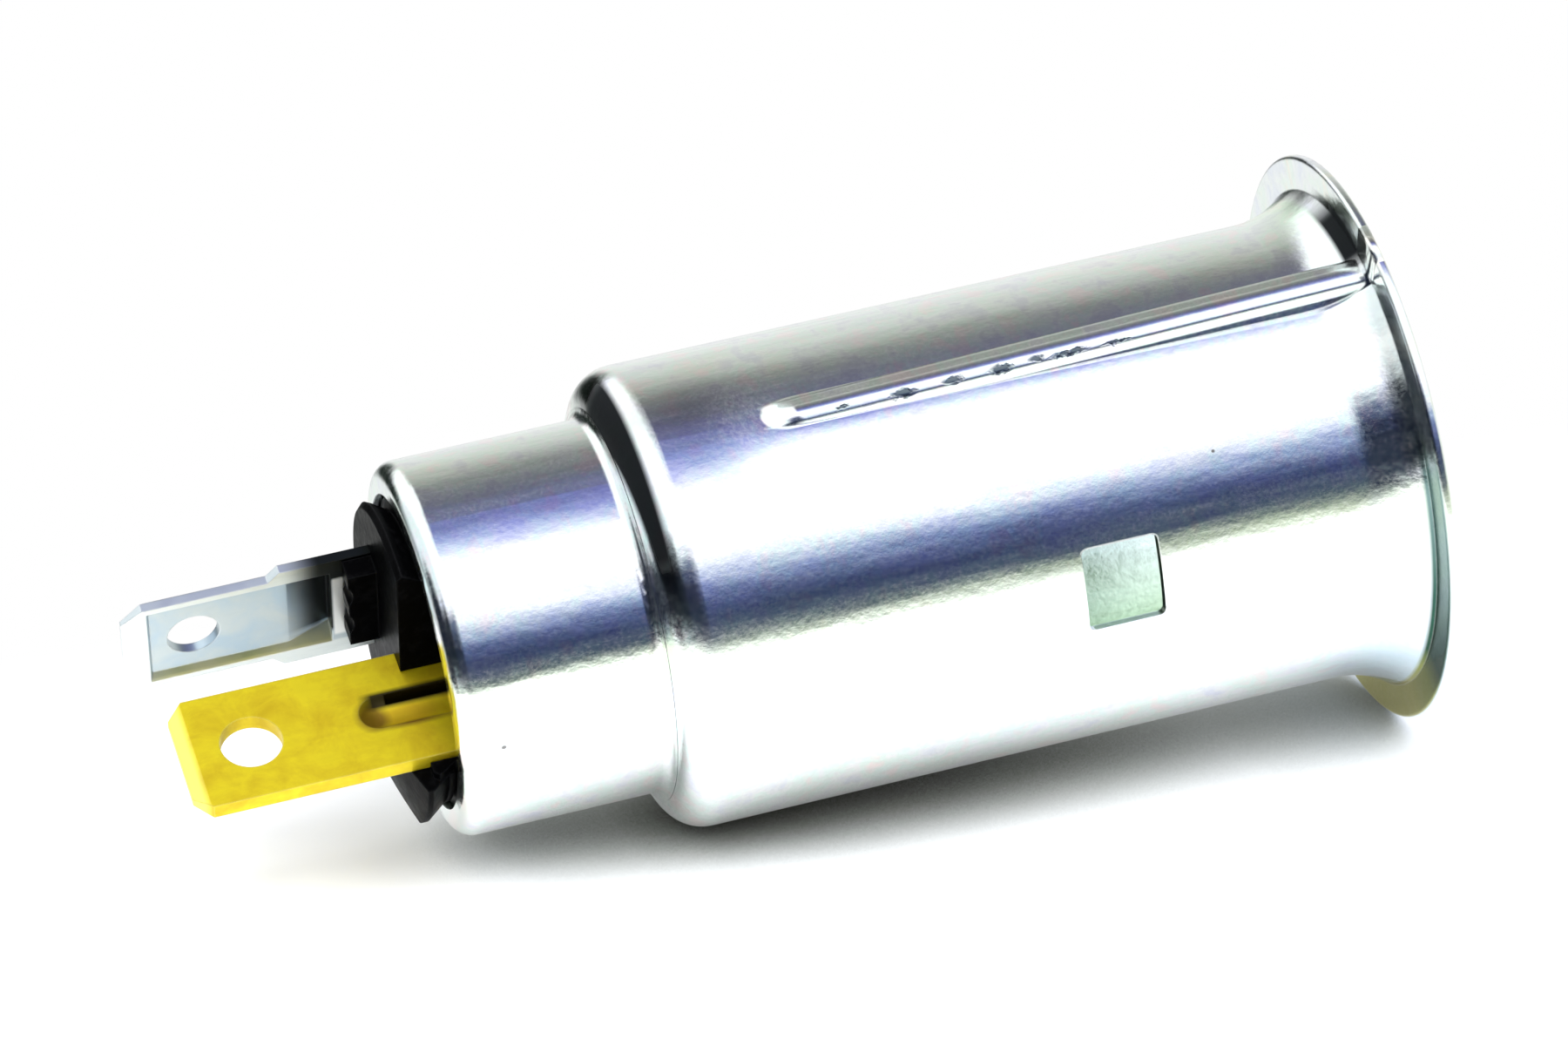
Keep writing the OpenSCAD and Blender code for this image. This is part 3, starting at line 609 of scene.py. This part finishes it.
def floor_paper():
    """White paper: shaded near the socket, plain white further out, as the background is."""
    s = Shader("floor_paper")
    position = s.put("TexCoord").outputs["Object"]
    rays = s.put("LightPath").outputs
    seen = s.maths("ADD", rays["Is Camera Ray"], rays["Is Glossy Ray"], clamp=True)
    seen = s.maths("ADD", seen, rays["Is Transmission Ray"], clamp=True)
    sky = sky_over_paper(s, position)
    shade = s.ramp(sky, (0.08, (0.018, 0.016, 0.010)), (0.22, (0.25, 0.26, 0.22)),
                   (0.36, (0.64, 0.65, 0.64)), (0.50, 1.0))
    fibre = s.ramp(s.noise(s.place(), 1.5), (0.3, 0.93), (0.7, 0.95))
    paper = s.put("BsdfDiffuse", {"Color": s.mix(1.0, fibre, shade, "MULTIPLY")})
    glow = s.maths("ADD", s.product(seen, PAPER_GLOW, sky),
                   s.maths("MULTIPLY", rays["Is Glossy Ray"], PAPER_GLOW_MIRRORED))
    lift = s.put("Emission", {"Color": rgb(1, 1, 1), "Strength": glow})
    near = s.put("AddShader", {0: paper.outputs[0], 1: lift.outputs[0]})
    white = s.put("Emission", {"Color": rgb(1, 1, 1), "Strength": 1.0})
    far = s.maths("MULTIPLY", plain_white(s, position), seen)
    shader = s.put("MixShader", {0: far, 1: near.outputs[0], 2: white.outputs[0]})
    s.put("OutputMaterial", {"Surface": shader.outputs[0]})
    return s.material


def at(degrees):
    """Place on a ramp that runs round the X axis from -180 to 180 degrees."""
    return (degrees + 180) / 360


def room_over_sleeve(s, turn):
    """What the sleeve mirrors: a bright front, a dim gap overhead and a dark band at eye level."""
    return s.ramp(turn,
                  (at(-180), (0.92, 0.93, 0.92)),
                  (at(-22), (1.00, 1.00, 0.98)),
                  (at(-13), (0.74, 0.80, 0.66)),
                  (at(-5), (0.08, 0.11, 0.15)),
                  (at(7), (0.030, 0.042, 0.115)),
                  (at(16), (0.09, 0.115, 0.28)),
                  (at(23), (0.32, 0.42, 0.72)),
                  (at(31), (1.15, 1.20, 1.25)),
                  (at(36), (1.35, 1.37, 1.38)),
                  (at(68), (1.35, 1.37, 1.38)),
                  (at(74), (1.00, 1.05, 1.20)),
                  (at(84), (0.33, 0.37, 0.80)),
                  (at(95), (0.16, 0.170, 0.42)),
                  (at(112), (0.14, 0.140, 0.20)),
                  (at(130), (0.23, 0.235, 0.23)),
                  (at(144), (0.51, 0.52, 0.49)),
                  (at(158), (0.72, 0.74, 0.70)),
                  (at(180), (0.92, 0.93, 0.92)))


def room_beyond_shoulder(s, turn):
    """What the shoulder, the flare and the rear faces mirror: white above, dark at eye level in
    front, and a dark card at eye level behind."""
    dark_card = (0.012, 0.018, 0.014)
    white_card = (1.35, 1.38, 1.40)
    return s.ramp(turn,
                  (at(-180), dark_card),
                  (at(-171), dark_card),
                  (at(-165), (0.92, 0.95, 0.93)),
                  (at(-22), (1.00, 1.00, 0.98)),
                  (at(-12), (0.60, 0.66, 0.66)),
                  (at(-4), (0.03, 0.04, 0.07)),
                  (at(22), (0.010, 0.014, 0.035)),
                  (at(34), (0.10, 0.13, 0.26)),
                  (at(44), white_card),
                  (at(158), white_card),
                  (at(170), dark_card),
                  (at(180), dark_card))


def room_behind_flare(s, turn):
    """What the flare and the shoulder mirror far to the rear: a white strip above eye level."""
    gloom = (0.006, 0.010, 0.020)
    white_strip = (0.95, 1.00, 1.05)
    return s.ramp(turn,
                  (at(-180), (0.30, 0.34, 0.36)),
                  (at(-150), (0.90, 0.92, 0.90)),
                  (at(-24), (1.00, 1.00, 0.98)),
                  (at(-12), (0.30, 0.36, 0.40)),
                  (at(-2), gloom),
                  (at(44), gloom),
                  (at(62), white_strip),
                  (at(160), white_strip),
                  (at(180), (0.30, 0.34, 0.36)))


def make_world():
    """White background, and round the socket a studio for the metal to mirror."""
    world = bpy.data.worlds.new("studio")
    bpy.context.scene.world = world
    world.use_nodes = True
    s = Shader("studio", world.node_tree)
    parts = s.parts(s.put("TexCoord").outputs["Generated"])
    front = s.maths("MULTIPLY", parts["Y"], -1.0)
    turn = s.span(s.maths("ARCTAN2", parts["Z"], front), -math.pi, math.pi)
    room = room_beyond_shoulder(s, turn)
    for limits, colour in ((OVER_SLEEVE, room_over_sleeve(s, turn)),
                           (BEHIND_FLARE, room_behind_flare(s, turn)),
                           (DARK_REAR, rgb(0.010, 0.014, 0.025)),
                           (BEYOND_MOUTH, rgb(0.94, 0.98, 0.95))):
        room = s.mix(s.smooth(parts["X"], *limits), room, colour)
    seen = s.put("LightPath").outputs["Is Camera Ray"]
    background = s.put("Background", {"Color": s.mix(seen, room, rgb(1, 1, 1)), "Strength": 1.0})
    s.put("OutputWorld", {"Surface": background.outputs[0]})


def make_softbox():
    data = bpy.data.lights.new("key_softbox", "AREA")
    data.shape = "RECTANGLE"
    data.size = SOFTBOX_LENGTH
    data.size_y = SOFTBOX_WIDTH
    data.energy = SOFTBOX_POWER
    lamp = bpy.data.objects.new("key_softbox", data)
    bpy.context.scene.collection.objects.link(lamp)
    lamp.location = SOFTBOX_PLACE
    lamp.visible_glossy = False
    lamp.rotation_mode = "QUATERNION"
    lamp.rotation_quaternion = (SOFTBOX_TARGET - SOFTBOX_PLACE).to_track_quat("-Z", "X")


def make_camera():
    data = bpy.data.cameras.new("camera")
    data.lens = CAMERA_LENS
    data.sensor_width = 36
    data.clip_start = 0.01
    data.clip_end = 10
    camera = bpy.data.objects.new("camera", data)
    bpy.context.scene.collection.objects.link(camera)
    facing = (CAMERA_TARGET - CAMERA_PLACE).to_track_quat("-Z", "Y").to_matrix().to_4x4()
    roll = Matrix.Rotation(CAMERA_ROLL, 4, "Z")
    camera.matrix_world = Matrix.Translation(CAMERA_PLACE) @ facing @ roll
    bpy.context.scene.camera = camera


make_camera()
make_world()
make_softbox()
make_floor()

dress("shell", zinc_plated_steel())
dress("rear_insulator", black_moulding())
dress("live_blade", sheet_brass("brass", rgb(0.82, 0.66, 0.014), rgb(0.62, 0.44, 0.008), 0.42,
                                 film=0.35, with_painted_light=True))
dress("ground_blade", tinned_brass())
dress("insulating_disc", hard_paper())
dress("centre_contact", sheet_brass("contact_brass", rgb(0.86, 0.70, 0.26), rgb(0.66, 0.48, 0.14),
                                     0.26))
dress("centre_rivet", sheet_brass("rivet_brass", rgb(0.84, 0.68, 0.30), rgb(0.60, 0.44, 0.18), 0.22))
dress("retaining_ring", spring_steel())

bpy.context.scene.view_settings.view_transform = "Standard"
